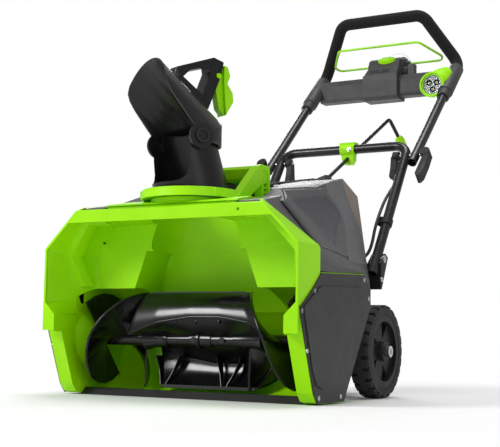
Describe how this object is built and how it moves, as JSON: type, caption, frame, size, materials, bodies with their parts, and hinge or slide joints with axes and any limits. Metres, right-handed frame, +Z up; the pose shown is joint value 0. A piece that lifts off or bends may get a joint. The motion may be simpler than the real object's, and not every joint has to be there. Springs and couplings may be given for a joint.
{
  "type": "snow thrower",
  "caption": "Walk-behind cordless snow thrower with a wide auger mouth, a turning chute with a tilting deflector, two wheels and a folding tubular handle.",
  "frame": {"origin": "on the ground straight below the auger shaft, mid-width, on the underside of the scraper bar", "axes": "+Z up, -Y out of the auger mouth, +Y to the handle, +X to the side with the belt"},
  "size_m": [0.546, 1.1026, 0.953],
  "materials": {
    "green_plastic": "semi-gloss moulded plastic",
    "green_metal": "gloss paint",
    "dark_plastic": "fine grained",
    "gray_plastic": "fine grained",
    "black_tube": "gloss powder coat",
    "auger_black": "glossy",
    "rubber": "matt",
    "tyre": "matt",
    "foam": "foam",
    "steel": "brushed",
    "aluminium": "cast",
    "lens": "clear",
    "lid_plastic": "satin"
  },
  "bodies": {
    "machine": {"hood_shell": "green_plastic", "scraper_bar": "rubber", "carry_handle": "green_plastic", "belt_cover": "dark_plastic", "bearing_cover": "dark_plastic", "cover_screws": "steel", "motor_cover": "gray_plastic", "battery_housing": "gray_plastic", "battery_dock": "dark_plastic", "chassis_base": "dark_plastic", "motor_can": "aluminium", "controller_box": "dark_plastic", "drive_belt": "rubber", "wheel_axle": "steel", "axle_caps": "steel", "auger_bearings": "steel", "chute_clips": "green_plastic", "shaft_tray": "dark_plastic", "pinion_cover": "dark_plastic", "crank_bracket": "green_plastic", "lower_handle": "black_tube", "handle_sockets": "dark_plastic", "handle_base_bolts": "steel", "handle_pivot_bolts": "steel", "inner_nuts": "dark_plastic"},
    "auger": {"auger_shaft": "steel", "auger_flights": "auger_black", "auger_paddles": "auger_black", "paddle_edges": "rubber", "auger_bolts": "dark_plastic", "auger_pulley": "steel"},
    "rotor": {"rotor": "steel", "motor_pulley": "steel"},
    "wheel_right": {"rim_right": "dark_plastic", "tyre_right": "tyre"},
    "wheel_left": {"rim_left": "dark_plastic", "tyre_left": "tyre"},
    "chute": {"chute_tube": "dark_plastic", "chute_gear": "green_plastic", "chute_pivots": "dark_plastic"},
    "deflector": {"deflector_hood": "dark_plastic", "deflector_frame": "dark_plastic"},
    "deflector_trigger": {"deflector_trigger": "green_plastic"},
    "drive_shaft": {"drive_shaft": "steel"},
    "crank": {"crank_rod": "black_tube"},
    "crank_knob": {"crank_knob": "green_plastic"},
    "upper_handle": {"upper_handle": "black_tube", "foam_grip": "foam", "console_body": "dark_plastic", "console_sleeves": "dark_plastic", "light_housing": "green_plastic", "light_lens": "lens", "control_cable": "rubber"},
    "bail": {"bail_lever": "green_metal"},
    "start_button": {"start_button": "green_plastic"},
    "safety_key": {"safety_key": "dark_plastic"},
    "battery_lid": {"battery_lid": "lid_plastic"},
    "battery": {"battery_pack": "dark_plastic"},
    "cam_right": {"cam_lever_right": "dark_plastic"},
    "cam_left": {"cam_lever_left": "dark_plastic"}
  },
  "joints": [
    {"name": "auger_spin", "type": "hinge", "parent": "machine", "child": "auger", "pos_m": [0, 0, 0.106], "axis": [1, 0, 0], "continuous": true},
    {"name": "motor_spin", "type": "hinge", "parent": "machine", "child": "rotor", "pos_m": [0, 0.138, 0.205], "axis": [1, 0, 0], "continuous": true},
    {"name": "wheel_right_spin", "type": "hinge", "parent": "machine", "child": "wheel_right", "pos_m": [0.242, 0.27, 0.09], "axis": [1, 0, 0], "continuous": true},
    {"name": "wheel_left_spin", "type": "hinge", "parent": "machine", "child": "wheel_left", "pos_m": [-0.242, 0.27, 0.09], "axis": [1, 0, 0], "continuous": true},
    {"name": "chute_turn", "type": "hinge", "parent": "machine", "child": "chute", "pos_m": [0, -0.03, 0.365], "axis": [0, 0, 1], "range_deg": [-64, 116]},
    {"name": "deflector_tilt", "type": "hinge", "parent": "chute", "child": "deflector", "pos_m": [-0.01315, -0.05696, 0.47], "axis": [0.8988, -0.4384, 0], "range_deg": [-5, 24]},
    {"name": "trigger_squeeze", "type": "hinge", "parent": "deflector", "child": "deflector_trigger", "pos_m": [0.01841, 0.00775, 0.6], "axis": [0.8988, -0.4384, 0], "range_deg": [-9, 0], "stiffness_Nm_per_rad": 0.8, "springref_deg": 5.73},
    {"name": "shaft_turn", "type": "hinge", "parent": "machine", "child": "drive_shaft", "pos_m": [0, 0.53, 0.469], "axis": [0, 0.9846, 0.1749], "range_deg": [-420, 760]},
    {"name": "crank_turn", "type": "hinge", "parent": "machine", "child": "crank", "pos_m": [0, 0.53, 0.469], "axis": [0.0725, 0.8462, 0.5279], "range_deg": [-420, 760]},
    {"name": "knob_spin", "type": "hinge", "parent": "crank", "child": "crank_knob", "pos_m": [0.0475, 0.89132, 0.61516], "axis": [0.2785, 0.4901, -0.826], "continuous": true},
    {"name": "handle_fold", "type": "hinge", "parent": "machine", "child": "upper_handle", "pos_m": [0, 0.628, 0.5345], "axis": [1, 0, 0], "range_deg": [0, 118], "deforming": ["control_cable"]},
    {"name": "bail_pull", "type": "hinge", "parent": "upper_handle", "child": "bail", "pos_m": [0, 0.927, 0.83], "axis": [1, 0, 0], "range_deg": [-28, 0], "stiffness_Nm_per_rad": 0.35, "springref_deg": 28.65},
    {"name": "start_press", "type": "slide", "parent": "upper_handle", "child": "start_button", "axis": [0, 0.5593, -0.829], "range_m": [0, 0.0025], "stiffness_N_per_m": 300, "springref_m": -0.002},
    {"name": "key_pull", "type": "slide", "parent": "upper_handle", "child": "safety_key", "axis": [0, 0, 1], "range_m": [0, 0.03]},
    {"name": "lid_open", "type": "hinge", "parent": "machine", "child": "battery_lid", "pos_m": [0, 0.447, 0.301], "axis": [1, 0, 0], "range_deg": [-95, 0]},
    {"name": "battery_eject", "type": "slide", "parent": "machine", "child": "battery", "axis": [0, 1, 0], "range_m": [0, 0.01]},
    {"name": "cam_right_open", "type": "hinge", "parent": "machine", "child": "cam_right", "pos_m": [0.211, 0.628, 0.5345], "axis": [0, -0.76, 0.65], "range_deg": [0, 100]},
    {"name": "cam_left_open", "type": "hinge", "parent": "machine", "child": "cam_left", "pos_m": [-0.211, 0.628, 0.5345], "axis": [0, 0.76, -0.65], "range_deg": [0, 100]}
  ],
  "couplings": [
    {"joint": "motor_spin", "follows": "auger_spin", "ratio": 4},
    {"joint": "shaft_turn", "follows": "chute_turn", "ratio": 6.5},
    {"joint": "crank_turn", "follows": "chute_turn", "ratio": 6.5}
  ]
}
